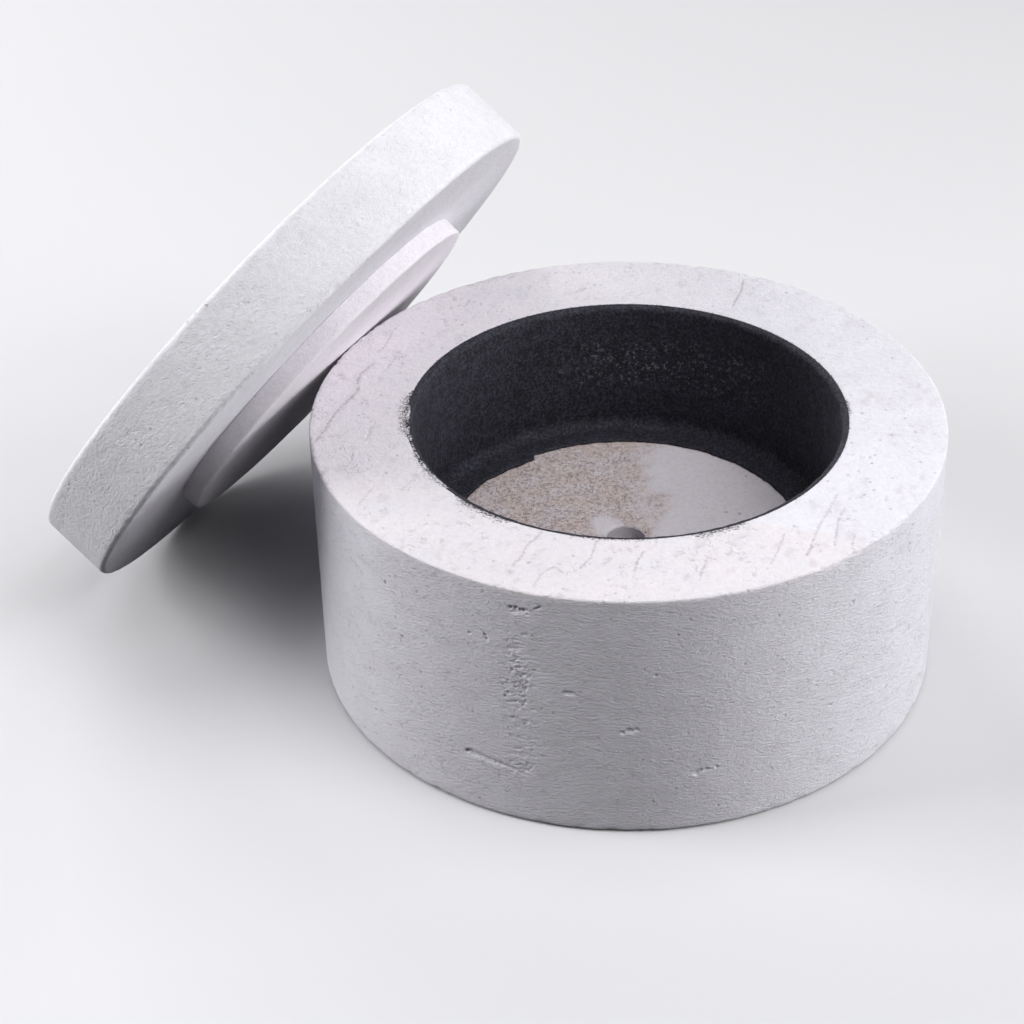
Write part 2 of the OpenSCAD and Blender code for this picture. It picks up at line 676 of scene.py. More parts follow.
@dataclass(frozen=True)
class CoatFinish:
    """Brushed black absorber with painted glints of bright grains, thin where it is rubbed."""

    dark: Colour = tone(22, 21, 26)
    brushed: Colour = tone(58, 58, 71)
    grey: Colour = tone(92, 91, 94)
    painted_glint: Colour = tone(150, 148, 148)
    fibre: Colour = tone(206, 202, 206)

    def material(self) -> bpy.types.Material:
        """Make the material."""
        bench = Bench("absorber_coat", 0.7, 0.25)
        place = bench.place()
        brush = bench.noise(place, 3.5 * MM, 4.0, 0.6, 0.3)
        grain = bench.noise(place, 0.75 * MM, 3.0, 0.7)
        sooty = bench.total([(brush, 0.3), (grain, 1.0)])
        colour = bench.blend(bench.span(sooty, 0.58, 0.8), self.dark, self.brushed)
        glint_band = bench.wear(Wear.GLINT_BAND)
        # The grey clots are faint coat colour everywhere and full in the glint band, where they are painted
        # sheen on the black.
        clots = bench.noise(place, 1.3 * MM, 2.0, 0.6)
        clotted = bench.times(bench.span(clots, 0.57, 0.66), bench.span(glint_band, 0.05, 0.7, 0.08, 1.0))
        colour = bench.blend(clotted, colour, self.grey)
        # Painted glints: light grey dots on the black coat, shown mostly in the glint band.
        away, random_colour = bench.cells(place, 0.55 * MM)
        chosen = bench.span(bench.parts(random_colour)[0], 0.9, 0.92)
        painted_glints = bench.times(bench.span(away, 0.24, 0.4, 1.0, 0.0), chosen)
        shown = bench.span(glint_band, 0.0, 1.0, 0.12, 1.0)
        colour = bench.blend(bench.times(painted_glints, shown), colour, self.painted_glint)
        gaps = bench.sum("ADD", bench.wear(Wear.THIN), bench.sum("SUBTRACT", grain, 0.5))
        colour = bench.blend(bench.span(gaps, 0.55, 0.7), colour, self.fibre)
        relief = bench.total([(brush, 1.0), (grain, 0.8)])
        return bench.cover(colour, relief, 0.35 * MM)


@dataclass(frozen=True)
class WashFinish:
    """Light wash, smooth on one side and sanded on the other."""

    smooth: Colour = tone(222, 217, 224)
    sand: Colour = tone(214, 204, 208)
    dark: Colour = tone(150, 138, 142)
    light: Colour = tone(236, 228, 230)
    beige: Colour = tone(210, 194, 190)
    brown: Colour = tone(182, 160, 154)
    rubbed: Colour = tone(230, 228, 234)

    def material(self) -> bpy.types.Material:
        """Make the material."""
        bench = Bench("floor_wash", 0.9, 0.2)
        place = bench.place()
        grit = bench.wear(Wear.GRIT)
        clouds = bench.noise(place, 8 * MM, 3.0)
        felt = bench.noise(place, 0.45 * MM, 2.0, 0.6)
        away, random_colour = bench.cells(place, 0.55 * MM)
        pick, warm, _ = bench.parts(random_colour)
        mottle = bench.noise(place, 0.95 * MM, 3.0, 0.72)
        grains = bench.blend(bench.span(clouds, 0.6, 0.38), self.sand, self.beige)
        grains = bench.blend(bench.span(mottle, 0.52, 0.68, 0.0, 0.7), grains, self.light)
        grains = bench.blend(bench.span(mottle, 0.48, 0.35, 0.0, 0.95), grains, self.dark)
        grains = bench.blend(bench.span(warm, 0.8, 0.9, 0.0, 0.4), grains, self.brown)
        grains = bench.blend(bench.span(pick, 0.1, 0.06, 0.0, 0.7), grains, self.dark)
        plain = bench.blend(bench.span(mottle, 0.55, 0.3, 0.0, 0.22), self.smooth, self.dark)
        plain = bench.blend(bench.times(bench.pinholes(place, 3.4 * MM, 0.9), 0.6), plain, self.dark)
        strewn = bench.span(bench.sum("ADD", grit, bench.sum("SUBTRACT", mottle, 0.5)), 0.2, 0.85)
        colour = bench.blend(strewn, plain, grains)
        colour = bench.blend(bench.wear(Wear.RUBBED), colour, self.rubbed)
        colour = bench.blend(bench.wear(Wear.STAIN), colour, self.brown)
        round_grains = bench.times(bench.span(away, 0.0, 0.6, 1.0, 0.0), grit)
        relief = bench.total([(round_grains, 1.0), (felt, 0.25)])
        return bench.cover(colour, relief, 0.25 * MM)


# ---------------------------------------------------------------------------------------------
# Pieces


@dataclass
class KilnBody:
    """Moulded fibre block with the chamber, the rim and the vent hole.

    Attributes:
        radius: Outside radius.
        height: Height of the rim.
        chamber: Radius of the bare chamber.
        floor: Height of the chamber's floor.
        vent: Radius of the vent hole.
        mouth_edge: Rounding of the rim's inner edge.
        edge: Rounding of the lower outer edge.
        steps: Segments of the full turn.
        row: Longest row of faces that show.
        hidden_row: Longest row of faces that don't.
        top_edge: Rounding of the rim's outer edge.
        least_smear: Millimetres of black on the rim outside the smears.
        smears: Direction, half width in degrees and reach in millimetres of each smear.
        scar_at: Direction of the scar.
        scar_heights: Millimetres between which it runs.
        scar_half: Degrees on both sides of it that get a finer mesh.
        crumbs: Number of torn crumbs in the scar.
        ripples: Number of ripples in it.
        scratches: Numbers of shallow scratches on the side and the rim.
        nicks: Numbers of nicks along the lower edge and the rim's outer edge.
        skin_edge: Points in millimetres of the line on the rim where the smooth skin ends.
        deep_side: Depth from which a mark of the side gets a finer mesh.
        deep_rim: Depth from which a mark of the rim gets one.
        fine: Margins round such marks on the side and the rim, for each time the mesh is halved.
    """

    radius: float
    height: float
    chamber: float
    floor: float
    vent: float
    mouth_edge: float
    edge: float = 1.2 * MM
    steps: int = 480
    row: float = 1.0 * MM
    hidden_row: float = 9 * MM
    top_edge: float = 0.6 * MM
    least_smear: float = 0.7
    smears: tuple[tuple[float, float, float], ...] = (
        (178, 15, 3.3), (-155, 14, 1.6), (-131, 12, 3.4), (-97, 16, 1.5), (0, 6, 1.8), (-70.5, 9, 3.0),
    )
    scar_at: float = -111.2
    scar_heights: tuple[float, float] = (14.5, 57.0)
    scar_half: float = 3.3
    crumbs: int = 66
    ripples: int = 110
    scratches: tuple[int, int] = (520, 260)
    nicks: tuple[int, int] = (90, 70)
    skin_edge: Path = ((25, -48), (37.6, -53.4), (48.8, -56.7), (56.3, -59.4), (58, -70))
    deep_side: float = 0.3 * MM
    deep_rim: float = 0.11 * MM
    fine: Path = ((1.3 * MM, 1.2 * MM), (0.9 * MM, 0.6 * MM))

    @classmethod
    def from_frame(cls) -> KilnBody:
        """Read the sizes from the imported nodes.

        Returns:
            The body at its real size.
        """
        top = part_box("kiln_body")[1]
        coat_low, coat_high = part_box("absorber_coat")
        vent = next(m for m in frame["record"]["mounts"] if m["name"] == "vent_hole")
        return cls(
            radius=top.x,
            height=top.z,
            chamber=coat_high.x,
            floor=coat_low.z,
            vent=vent["dims"]["r_mm"] * MM,
            mouth_edge=top.z - coat_high.z,
        )

    def section(self) -> list[Station]:
        """Walk round the section from the vent's lower edge."""
        turn_in = self.radius - self.edge
        mouth = self.chamber + self.mouth_edge
        lower = fillet(turn_in, self.edge, self.edge, -90, 0)
        top_in = self.radius - self.top_edge
        upper = fillet(top_in, self.height - self.top_edge, self.top_edge, 0, 90)
        inner = fillet(mouth, self.height - self.mouth_edge, self.mouth_edge, 90, 180)
        lower[-1] = Station(self.radius, self.edge, self.row)
        upper[-1] = Station(top_in, self.height, self.row)
        return [
            Station(self.vent, 0.0, self.hidden_row),
            *lower,
            *upper,
            *inner,
            Station(self.chamber, self.height - 4 * MM, self.hidden_row),
            Station(self.chamber, self.floor, self.hidden_row),
            Station(self.vent + 2 * MM, self.floor, 0.5 * MM),
            Station(self.vent, self.floor, 1.5 * MM),
        ]

    def on_side(self, degrees: float, height: float) -> Vector:
        """Give the point of the side at a direction and a height in millimetres."""
        return on_cylinder(self.radius, degrees, height)

    def on_rim(self, x: float, y: float) -> Vector:
        """Give the point of the rim at x and y in millimetres."""
        return Vector((x * MM, y * MM, self.height))

    def scar(self, cuts: Wounds) -> None:
        """Scatter the crumbs of the scar on the front of the side.

        It is torn in its middle, and only rippled above and below.

        Args:
            cuts: The wounds that they are added to.
        """
        rng = random.Random(13)
        for _ in range(self.crumbs):
            degrees = self.scar_at + rng.gauss(-0.2, 1.2)
            size = rng.uniform(0.2, 0.5)
            depth = size * rng.uniform(0.4, 0.9)
            cuts.dot(degrees, rng.gauss(41.0, 3.8), size, depth, rng.choice((0, 0, 0.35)))
        for _ in range(self.ripples):
            degrees = self.scar_at + rng.gauss(-0.2, 1.2)
            height = rng.uniform(*self.scar_heights)
            path = [(degrees, height), (degrees + rng.uniform(0.2, 1.4), height + rng.uniform(-0.3, 0.3))]
            cuts.stroke(path, rng.uniform(0.25, 0.45), rng.uniform(0.06, 0.2), 0.0, 0.5)

    def in_scar(self, place: Vector) -> bool:
        """Tell whether a place of the side is so near the scar that it needs a finer mesh."""
        low, high = self.scar_heights
        degrees = bearing(place)
        away = abs(round_the_clock(degrees, self.scar_at))
        return low - 1 < place.z / MM < high + 1 and away < self.scar_half

    def side_wounds(self) -> Wounds:
        """Lay out the grooves, scars and pits of the side.

        Returns:
            The wounds, ready to be read.
        """
        cuts = Wounds(self.on_side, seed=11)
        self.scar(cuts)
        cuts.stroke([(-112.4, 63.9), (-110.4, 63.7), (-109.0, 63.8)], 0.36, 0.4, 0.35, 0.9)
        cuts.stroke([(-112.0, 63.1), (-109.4, 63.0)], 0.5, 0.25, 0.0, 0.9)
        cuts.stroke([(-108.2, 64.6), (-107.2, 65.5)], 0.26, 0.3, 0.3, 0.6)
        cuts.stroke([(-121.2, 17.3), (-119.6, 17.1)], 0.45, 0.6, 0.5, 0.6)
        groove = [(-120.6, 17.0), (-117.5, 16.6), (-114.5, 16.1), (-112.2, 15.7)]
        cuts.stroke(groove, 1.0, 0.5, 0.0, 0.12, 0.5)
        for path in (
            [(-94.2, 31.0), (-92.4, 31.7), (-90.4, 31.9)],
            [(-80.9, 17.5), (-79.4, 18.0), (-78.4, 17.9)],
            [(-103.2, 41.6), (-102.0, 41.8), (-101.2, 41.6)],
        ):
            cuts.stroke(path, 0.6, 0.36, 0.0, 0.5, 0.4)
        for place in (
            (-120.1, 53.3), (-117.1, 54.1), (-116.9, 53.2), (-134.9, 43.1), (-143.7, 13.4),
            (-138.5, 56.4), (-88.2, 47.8), (-55.3, 26.4), (-51.7, 54.7), (-77.4, 18.4),
        ):
            cuts.dot(*place, 0.48, 0.42, 0.45)
        rng = random.Random(12)
        for _ in range(self.scratches[0]):
            degrees = rng.uniform(-180, 180)
            height = rng.uniform(1.5, 67.5)
            long = rng.uniform(0.2, 1.6)
            path = [(degrees, height), (degrees + long, height + rng.uniform(-0.3, 0.3))]
            cuts.stroke(path, rng.uniform(0.5, 0.8), rng.uniform(0.03, 0.1), 0.0)
        for _ in range(self.nicks[0]):
            cuts.dot(rng.uniform(-180, 180), 0.4, rng.uniform(0.5, 1.3), rng.uniform(0.1, 0.3), 0.0)
        cuts.close()
        return cuts

    def rim_wounds(self) -> Wounds:
        """Lay out the cracks, chips and pits of the rim.

        Returns:
            The wounds, ready to be read.
        """
        cuts = Wounds(self.on_rim, seed=21)
        long_crack = [
            (-78.6, -11.2), (-76.0, -4.4), (-74.6, 0.8), (-72.4, 6.2), (-69.4, 12.2),
            (-68.3, 14.5), (-68.6, 19.4), (-67.7, 22.6), (-64.7, 27.6),
        ]
        cuts.stroke(long_crack, 1.2, 0.0, 0.15, 0.4)
        cuts.stroke(long_crack, 0.32, 0.13, 0.65, 0.7)
        for path, stain in (
            ([(-63.7, 33.2), (-62.5, 35.2), (-61.3, 38.8), (-60.6, 43.0), (-59.3, 46.1)], 0.4),
            ([(-61.8, 22.9), (-59.9, 27.9), (-58.5, 32.9)], 0.25),
            ([(-70.4, -23.1), (-68.9, -19.6), (-68.3, -16.4)], 0.3),
            ([(-65.6, -9.7), (-63.8, -2.8)], 0.2),
            ([(-56.3, -32.4), (-53.3, -28.2), (-50.5, -23.1)], 0.25),
            ([(-29.6, -64.6), (-27.5, -61.1), (-26.2, -56.7), (-22.6, -51.6)], 0.45),
            ([(-25.2, -73.7), (-23.5, -68.7), (-20.7, -65.7)], 0.3),
            ([(-14.3, -66.4), (-11.8, -62.6), (-9.9, -55.4)], 0.45),
            ([(-1.8, -67.7), (-1.1, -64.6), (0.5, -60.7)], 0.5),
            ([(12.9, -70.3), (13.8, -67.6), (14.9, -65.3)], 0.45),
            ([(29.2, -67), (31.6, -61.2), (33.9, -54.4)], 0.4),
            ([(38.4, -62.3), (42.4, -51.5), (48, -39.2)], 0.35),
            ([(38.0, -63.4), (39.6, -60.2)], 0.8),
            ([(44.9, -59.8), (46.9, -49.6), (49.2, -44.7)], 0.4),
            ([(48.8, -59.9), (50.1, -55.9)], 0.4),
            ([(35.5, 67.4), (34.5, 61.8), (31.5, 53.6)], 0.55),
            ([(-66, -38), (-62.5, -30)], 0.2),
        ):
            cuts.stroke(path, 0.34, 0.12, stain, 0.55)
        for place in (
            (-46.9, 34.5), (58.2, -25.7), (56.6, -34), (61.6, -15.5), (64.8, -13.3), (59.4, -22.2),
            (69.2, -5.6), (70.7, -12.2), (58.8, -2.8), (51.7, -30.7), (58.0, -23.0),
        ):
            cuts.dot(*place, 0.45, 0.25, 0.5)
        for place in ((-30.3, -67.3), (-73.2, 21.9), (-72.5, 20.3)):
            cuts.dot(*place, 1.1, 0.1, 0.4)
        for degrees, inset, reach, depth in (
            (-59.3, 0.4, 1.0, 0.25), (-57.6, 0.9, 1.3, 0.3), (-55.9, 0.2, 1.0, 0.4),
            (-54.2, 0.5, 1.5, 0.35), (-52.1, 0.1, 1.2, 0.4), (-50.6, 0.5, 0.9, 0.3),
            (-48.2, 0.0, 1.1, 0.25), (-43, 0.0, 1.4, 0.2), (-37, 0.0, 1.5, 0.2), (-30, 0.0, 1.3, 0.2),
        ):
            angle = math.radians(degrees)
            out = self.radius / MM - inset
            cuts.dot(out * math.cos(angle), out * math.sin(angle), reach, depth, 0.0)
        rng = random.Random(22)
        for _ in range(self.scratches[1]):
            angle = rng.uniform(-math.pi, math.pi)
            out = rng.uniform(58, 79)
            x, y = out * math.cos(angle), out * math.sin(angle)
            lean = math.radians(rng.gauss(66, 22))
            long = rng.uniform(0.3, 2.6)
            path = [(x, y), (x + long * math.cos(lean), y + long * math.sin(lean))]
            reach, depth = rng.uniform(0.5, 0.8), rng.uniform(0.03, 0.09)
            cuts.stroke(path, reach, depth, rng.uniform(0.0, 0.25), 0.5)
        for _ in range(self.nicks[1]):
            angle = math.radians(rng.uniform(12, 205))
            out = self.radius / MM
            x, y = out * math.cos(angle), out * math.sin(angle)
            cuts.dot(x, y, rng.uniform(0.5, 1.2), rng.uniform(0.15, 0.4), 0.0)
        cuts.close()
        return cuts

    def smear(self, degrees: float) -> float:
        """How many millimetres black is smeared from the mouth onto the rim, in some direction."""
        reach = self.least_smear
        for middle, half, out in self.smears:
            reach = max(reach, out * ease(abs(round_the_clock(degrees, middle)), half, half * 0.45))
        return reach

    def raw_share(self, place: Vector) -> float:
        """How far the smooth skin is gone from the rim at a place, 0 to 1."""
        x, y = place.x / MM, place.y / MM
        if x > 25 and y < 0:
            for (x0, y0), (x1, y1) in zip(self.skin_edge, self.skin_edge[1:]):
                if x0 <= x < x1:
                    line = y0 + (y1 - y0) * (x - x0) / (x1 - x0)
                    return ease(y, line + 0.6, line - 0.6)
            return 0.0
        degrees = math.degrees(math.atan2(y, x)) % 360
        return max(ease(degrees, 40, 130) * ease(degrees, 330, 290), 0.1)

    def weather(self, bm: bmesh.types.BMesh) -> None:
        """Wear the surface down: lumps, cracks, pits and chips, always inwards.

        Args:
            bm: The turned mesh.
        """
        side, rim = self.side_wounds(), self.rim_wounds()
        for by_side, by_rim in self.fine:
            refine(
                bm,
                lambda centre: self.in_scar(centre)
                or side.near(centre, by_side, self.deep_side)
                or rim.near(centre, by_rim, self.deep_rim),
            )
        layers = new_layers(bm, Wear.STAIN, Wear.SOOT, Wear.RAW, Wear.DUSTED)
        for vert in bm.verts:
            place, out = vert.co.copy(), vert.co.xy.length
            inside = out < self.chamber + 0.1 * MM
            if place.z < 0.05 * MM or (inside and self.floor + 0.2 * MM < place.z < self.height - 5 * MM):
                continue
            depth, stain = (0.0, 0.0)
            if not inside:
                depth, stain = max(side.read(place), rim.read(place))
                fade = ease(out, self.chamber + 0.6 * MM, self.chamber + 2.5 * MM)
                lumps = 0.05 + 0.05 * swell(place, 7 * MM) + 0.03 * swell(place, 2.3 * MM)
                depth += max(0.0, lumps) * MM * fade
            elif out < self.vent + 1.5 * MM:
                depth = 0.15 * MM * (0.5 + 0.5 * swell(place, 1.5 * MM))
                vert[layers[Wear.DUSTED]] = ease(place.z, self.floor - 6 * MM, self.floor - 1 * MM)
            vert[layers[Wear.STAIN]] = stain
            if place.z > self.height - 1.0 * MM and not inside:
                degrees = bearing(place)
                vert[layers[Wear.SOOT]] = self.smear(degrees)
                vert[layers[Wear.RAW]] = self.raw_share(place)
            elif inside:
                vert[layers[Wear.RAW]] = 1.0
            vert.co = place - vert.normal * depth

    def build(self) -> None:
        """Make the body and set it down."""
        bm = turned(self.section(), self.steps)
        self.weather(bm)
        skin, raw = tone(235, 233, 241), tone(233, 228, 233)
        finish = FibreFinish("body_fibre", skin, raw, mouth=self.chamber)
        Piece("fibre_body", "kiln_body", Rides.KILN, Slot.BODY_FIBRE).set_down(bm, finish.material())


@dataclass
class AbsorberCoat:
    """Black coat, brushed on the chamber's wall and on a ring of its floor.

    Attributes:
        kiln: The body that carries it.
        wall: Thickness on the wall.
        floor: Thickness on the floor.
        ring: Inner radius of the floor ring.
        cove: Radius where it turns from the wall onto the floor.
        steps: Segments of the full turn.
        row: Longest row of faces that show.
    """

    kiln: KilnBody
    ring: float
    wall: float = 1.5 * MM
    floor: float = 1.0 * MM
    cove: float = 3.0 * MM
    steps: int = 560
    row: float = 0.7 * MM

    def section(self) -> list[Station]:
        """Walk round the section from the ring's lower inner edge."""
        kiln, inner = self.kiln, self.kiln.chamber - self.wall
        base, top = kiln.floor, kiln.height
        cove = fillet(inner - self.cove, base + self.floor + self.cove, self.cove, 0, -90)
        cove[-1] = Station(inner - self.cove, base + self.floor, self.row)
        shoulder = ((0.36, 0.08), (0.22, -0.02), (-0.25, 0.0), (-0.8, 0.22), (-1.25, 0.62), (-1.5, 1.3))
        return [
            Station(self.ring, base, 5 * MM),
            Station(kiln.chamber, base, 8 * MM),
            Station(kiln.chamber, top - kiln.mouth_edge),
            *(Station(kiln.chamber + out * MM, top - down * MM, 0.4 * MM) for out, down in shoulder[:-1]),
            Station(inner, top - shoulder[-1][1] * MM, self.row),
            *cove,
            Station(self.ring + 0.35 * MM, base + self.floor),
            Station(self.ring, base + self.floor - 0.3 * MM),
        ]

    def ring_shift(self, place: Vector) -> float:
        """How far the ring's inner edge is off its radius, in some direction."""
        degrees = bearing(place)
        tongue = ease(degrees, 120.0, 121.6) * ease(degrees, 152, 124)
        around = outwards(place) * self.ring
        return (-1.7 * tongue + 0.3 * swell(around, 5 * MM) + 0.22 * swell(around, 1.6 * MM)) * MM

    def thinness(self, place: Vector) -> float:
        """How thin the coat is at a place, 0 to 1: rubbed on the lip, mostly at the left."""
        down = self.kiln.height - place.z
        degrees = bearing(place)
        out = place.xy.length - self.kiln.chamber
        left = ease(abs(round_the_clock(degrees, -165)), 34, 16)
        patchy = 0.5 + 0.5 * swell(place, 4 * MM)
        lip = ease(down, 1.0 * MM, 0.1 * MM) * ease(out, -1.2 * MM, -0.3 * MM)
        return max(lip * left * (0.35 + 0.55 * patchy), 0.42 * ease(down, 2.6 * MM, 0.4 * MM) * patchy)

    def glint_band_share(self, place: Vector) -> float:
        """How much painted glint and painted sheen shows at a place, 0 to 1: a patchy band high on the back
        wall.
        """
        degrees = bearing(place)
        around = ease(abs(round_the_clock(degrees, 74)), 42, 18)
        band = ease(abs(place.z - 52.0 * MM), 10 * MM, 4 * MM)
        return around * band * max(0.0, 0.6 + 0.6 * swell(place, 6 * MM))

    def build(self) -> None:
        """Make the coat and set it down."""
        kiln = self.kiln
        bm = turned(self.section(), self.steps)
        layers = new_layers(bm, Wear.THIN, Wear.GLINT_BAND)
        for vert in bm.verts:
            place, out = vert.co.copy(), vert.co.xy.length
            share = ease(out, self.ring + 4 * MM, self.ring + 0.5 * MM)
            shift = outwards(place) * self.ring_shift(place) * share
            hidden = out > kiln.chamber - 0.05 * MM or place.z < kiln.floor + 0.1 * MM
            if not hidden:
                lumps = 0.12 * swell(place, 5 * MM) + 0.12 * swell(place, 1.8 * MM) - 0.1
                shift += vert.normal * lumps * MM
            vert[layers[Wear.THIN]] = self.thinness(place)
            vert[layers[Wear.GLINT_BAND]] = self.glint_band_share(place)
            vert.co = place + shift
        piece = Piece("brushed_coat", "absorber_coat", Rides.KILN, Slot.ABSORBER)
        piece.set_down(bm, CoatFinish().material())


@dataclass
class FloorWash:
    """Light wash on the middle of the chamber's floor, sanded on its left.

    Attributes:
        coat: The coat whose ring lies round it.
        inner: Radius of its edge round the vent hole.
        outer: Radius of its outer edge.
        low: Height of the floor under it.
        high: Height of its face.
        steps: Segments of the full turn.
        row: Longest row of faces that show.
        sanded_to: Place along +X where the sanded half ends.
    """

    coat: AbsorberCoat
    inner: float
    outer: float
    low: float
    high: float
    steps: int = 560
    row: float = 0.5 * MM
    sanded_to: float = 7.5 * MM

    def build(self) -> None:
        """Make the wash and set it down."""
        soft = 0.15 * MM
        thick = self.high - self.low
        section = [
            Station(self.inner - 0.75 * MM, self.low, 5 * MM),
            Station(self.outer, self.low),
            Station(self.outer, self.high - soft),
            Station(self.outer - soft, self.high, self.row),
            Station(self.inner + 0.2 * MM, self.high),
            Station(self.inner - 0.2 * MM, self.low + 0.75 * thick),
            Station(self.inner - 0.5 * MM, self.low + 0.4 * thick),
            Station(self.inner - 0.75 * MM, self.low + 0.2 * thick),
        ]
        bm = turned(section, self.steps)
        layers = new_layers(bm, Wear.GRIT, Wear.RUBBED, Wear.STAIN)
        worn = Vector((-5.0 * MM, 5.0 * MM, self.high))
        for vert in bm.verts:
            place, out = vert.co.copy(), vert.co.xy.length
            edge = ease(out, self.outer - 3 * MM, self.outer)
            drift = (6 * swell(place, 13 * MM) + 4 * swell(place, 5 * MM) + 2 * swell(place, 2 * MM)) * MM
            grit = ease(place.x + drift, self.sanded_to + 7 * MM, self.sanded_to - 6 * MM)
            rubbed = ease((place - worn).length + 1.5 * MM * swell(place, 3 * MM), 6.5 * MM, 2 * MM)
            vert[layers[Wear.GRIT]] = grit * (1 - 0.7 * rubbed)
            vert[layers[Wear.RUBBED]] = 0.22 * rubbed
            vert[layers[Wear.STAIN]] = 0.7 * ease(out, self.outer - 0.9 * MM, self.outer)
            shift = outwards(place) * self.coat.ring_shift(place) * edge
            if place.z > self.low + 0.1 * MM:
                away = noise.voronoi(place / (0.8 * MM))[0][0]
                grain = 0.16 * (1 - min(1.0, away / 0.6) ** 2) * noise.cell(place / (1.1 * MM))
                shift.z += (grain * grit - 0.08 + 0.05 * swell(place, 4 * MM)) * MM
            vert.co = place + shift
        Piece("sanded_wash", "floor_wash", Rides.KILN, Slot.WASH).set_down(bm, WashFinish().material())


@dataclass
class Lid:
    """Stepped lid of two discs, standing on its edge and leaning on the rim.

    Attributes:
        radius: Radius of the disc.
        thick: Thickness of the disc.
        edge: Rounding of the disc's edges.
        plug: Radius of the plug.
        plug_thick: Thickness of the plug.
        plug_edge: Rounding of the plug's free edge.
        steps: Segments of the full turn.
        row: Longest row of faces on the disc's band.
        pits: Number of pits drawn for the band.
        nicks: Number of nicks along its edges.
    """

    plug: float
    radius: float = 80 * MM
    thick: float = 20.5 * MM
    edge: float = 1.5 * MM
    plug_thick: float = 5.0 * MM
    plug_edge: float = 0.8 * MM
    steps: int = 560
    row: float = 0.9 * MM
    pits: int = 300
    nicks: int = 110

    def __post_init__(self) -> None:
        """Read from the frame where the lid stands."""
        joint = next(j for j in frame["joints"] if j["name"] == "lid_tip")
        lean = math.radians(joint["range_deg"][1] - 90)
        along = Vector(joint["axis"]).normalized()
        outward = along.cross(UP)
        facing = -(math.cos(lean) * outward + math.sin(lean) * UP)
        low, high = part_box("lid_disc")
        seat = (low + high) / 2 + facing * self.thick / 2
        axes = Matrix((along.cross(facing), along, facing)).transposed().to_4x4()
        self.stand = Matrix.Translation(seat) @ axes

    def on_band(self, degrees: float, height: float) -> Vector:
        """Give the point of the disc's band at a direction and a height in millimetres."""
        return on_cylinder(self.radius, degrees, height)

    def wounds(self) -> Wounds:
        """Lay out the pits of the band and the nicks of its edges.

        Returns:
            The wounds, ready to be read.
        """
        cuts = Wounds(self.on_band, seed=31)
        rng = random.Random(32)
        deep = self.thick / MM
        for _ in range(self.pits):
            degrees = rng.uniform(-180, 180)
            if abs(degrees - 5) < 28 and rng.random() < 0.8:
                continue
            height = -deep / 2 + rng.uniform(-0.42, 0.42) * deep
            lean = rng.uniform(0, math.pi)
            long = rng.uniform(0.2, 1.4)
            along, up = 0.7 * long * math.cos(lean), long * math.sin(lean)
            reach, depth = rng.uniform(0.6, 0.9), rng.uniform(0.05, 0.14)
            path = [(degrees, height), (degrees + along, height + up)]
            cuts.stroke(path, reach, depth, rng.uniform(0.0, 0.15), 0.5)
        for _ in range(self.nicks):
            height = rng.choice((-0.4, 0.4 - deep))
            degrees = rng.uniform(-180, 180)
            cuts.dot(degrees, height, rng.uniform(0.6, 1.4), rng.uniform(0.05, 0.18), 0.0)
        cuts.close()
        return cuts

    def wear_down(self, bm: bmesh.types.BMesh, cuts: Wounds | None) -> None:
        """Wear a disc inwards and stand it where it leans.

        Args:
            bm: The turned mesh, still lying flat.
            cuts: Its pits and nicks.
        """
        layers = new_layers(bm, Wear.STAIN, Wear.SOOT, Wear.RAW)
        for vert in bm.verts:
            depth, stain = cuts.read(vert.co) if cuts else (0.0, 0.0)
            lumps = 0.05 + 0.05 * swell(vert.co, 7 * MM) + 0.03 * swell(vert.co, 2.2 * MM)
            vert[layers[Wear.STAIN]] = stain
            vert[layers[Wear.RAW]] = 0.6 if cuts is None else 0.0
            vert.co -= vert.normal * (depth + max(0.0, lumps) * MM)
        bmesh.ops.transform(bm, matrix=self.stand, verts=bm.verts[:])

    def dress(self, bm: bmesh.types.BMesh, piece: Piece, look: dict[str, Colour | float]) -> None:
        """Give a disc its finish and set it down.

        Args:
            bm: The worn mesh, already standing.
            piece: The piece that it becomes. Its finish is named after its slot.
            look: Values of the finish by name.
        """
        turn = tuple(self.stand.to_euler())
        finish = FibreFinish(piece.slot.value, squeeze=1.5, origin=self.stand.translation, turn=turn, **look)
        piece.set_down(bm, finish.material())

    def build_disc(self) -> None:
        """Make the disc and set it down."""
        turn_in = self.radius - self.edge
        lower = fillet(turn_in, self.edge - self.thick, self.edge, -90, 0)
        upper = fillet(turn_in, -self.edge, self.edge, 0, 90)
        lower[-1] = Station(self.radius, self.edge - self.thick, self.row)
        upper[-1] = Station(turn_in, 0.0, 1.5 * MM)
        under_plug = Station(self.plug - 1 * MM, 0.0, 8 * MM)
        section = [Station(0.0, -self.thick, 3 * MM), *lower, *upper, under_plug, Station(0.0, 0.0)]
        bm = turned(section, self.steps)
        self.wear_down(bm, self.wounds())
        skin, raw = tone(234, 233, 239), tone(232, 228, 234)
        look = dict(skin=skin, raw=raw, pitted=0.47, curls=0.05, relief=0.26 * MM)
        self.dress(bm, Piece("fibre_lid", "lid_disc", Rides.LID, Slot.LID_FIBRE), look)

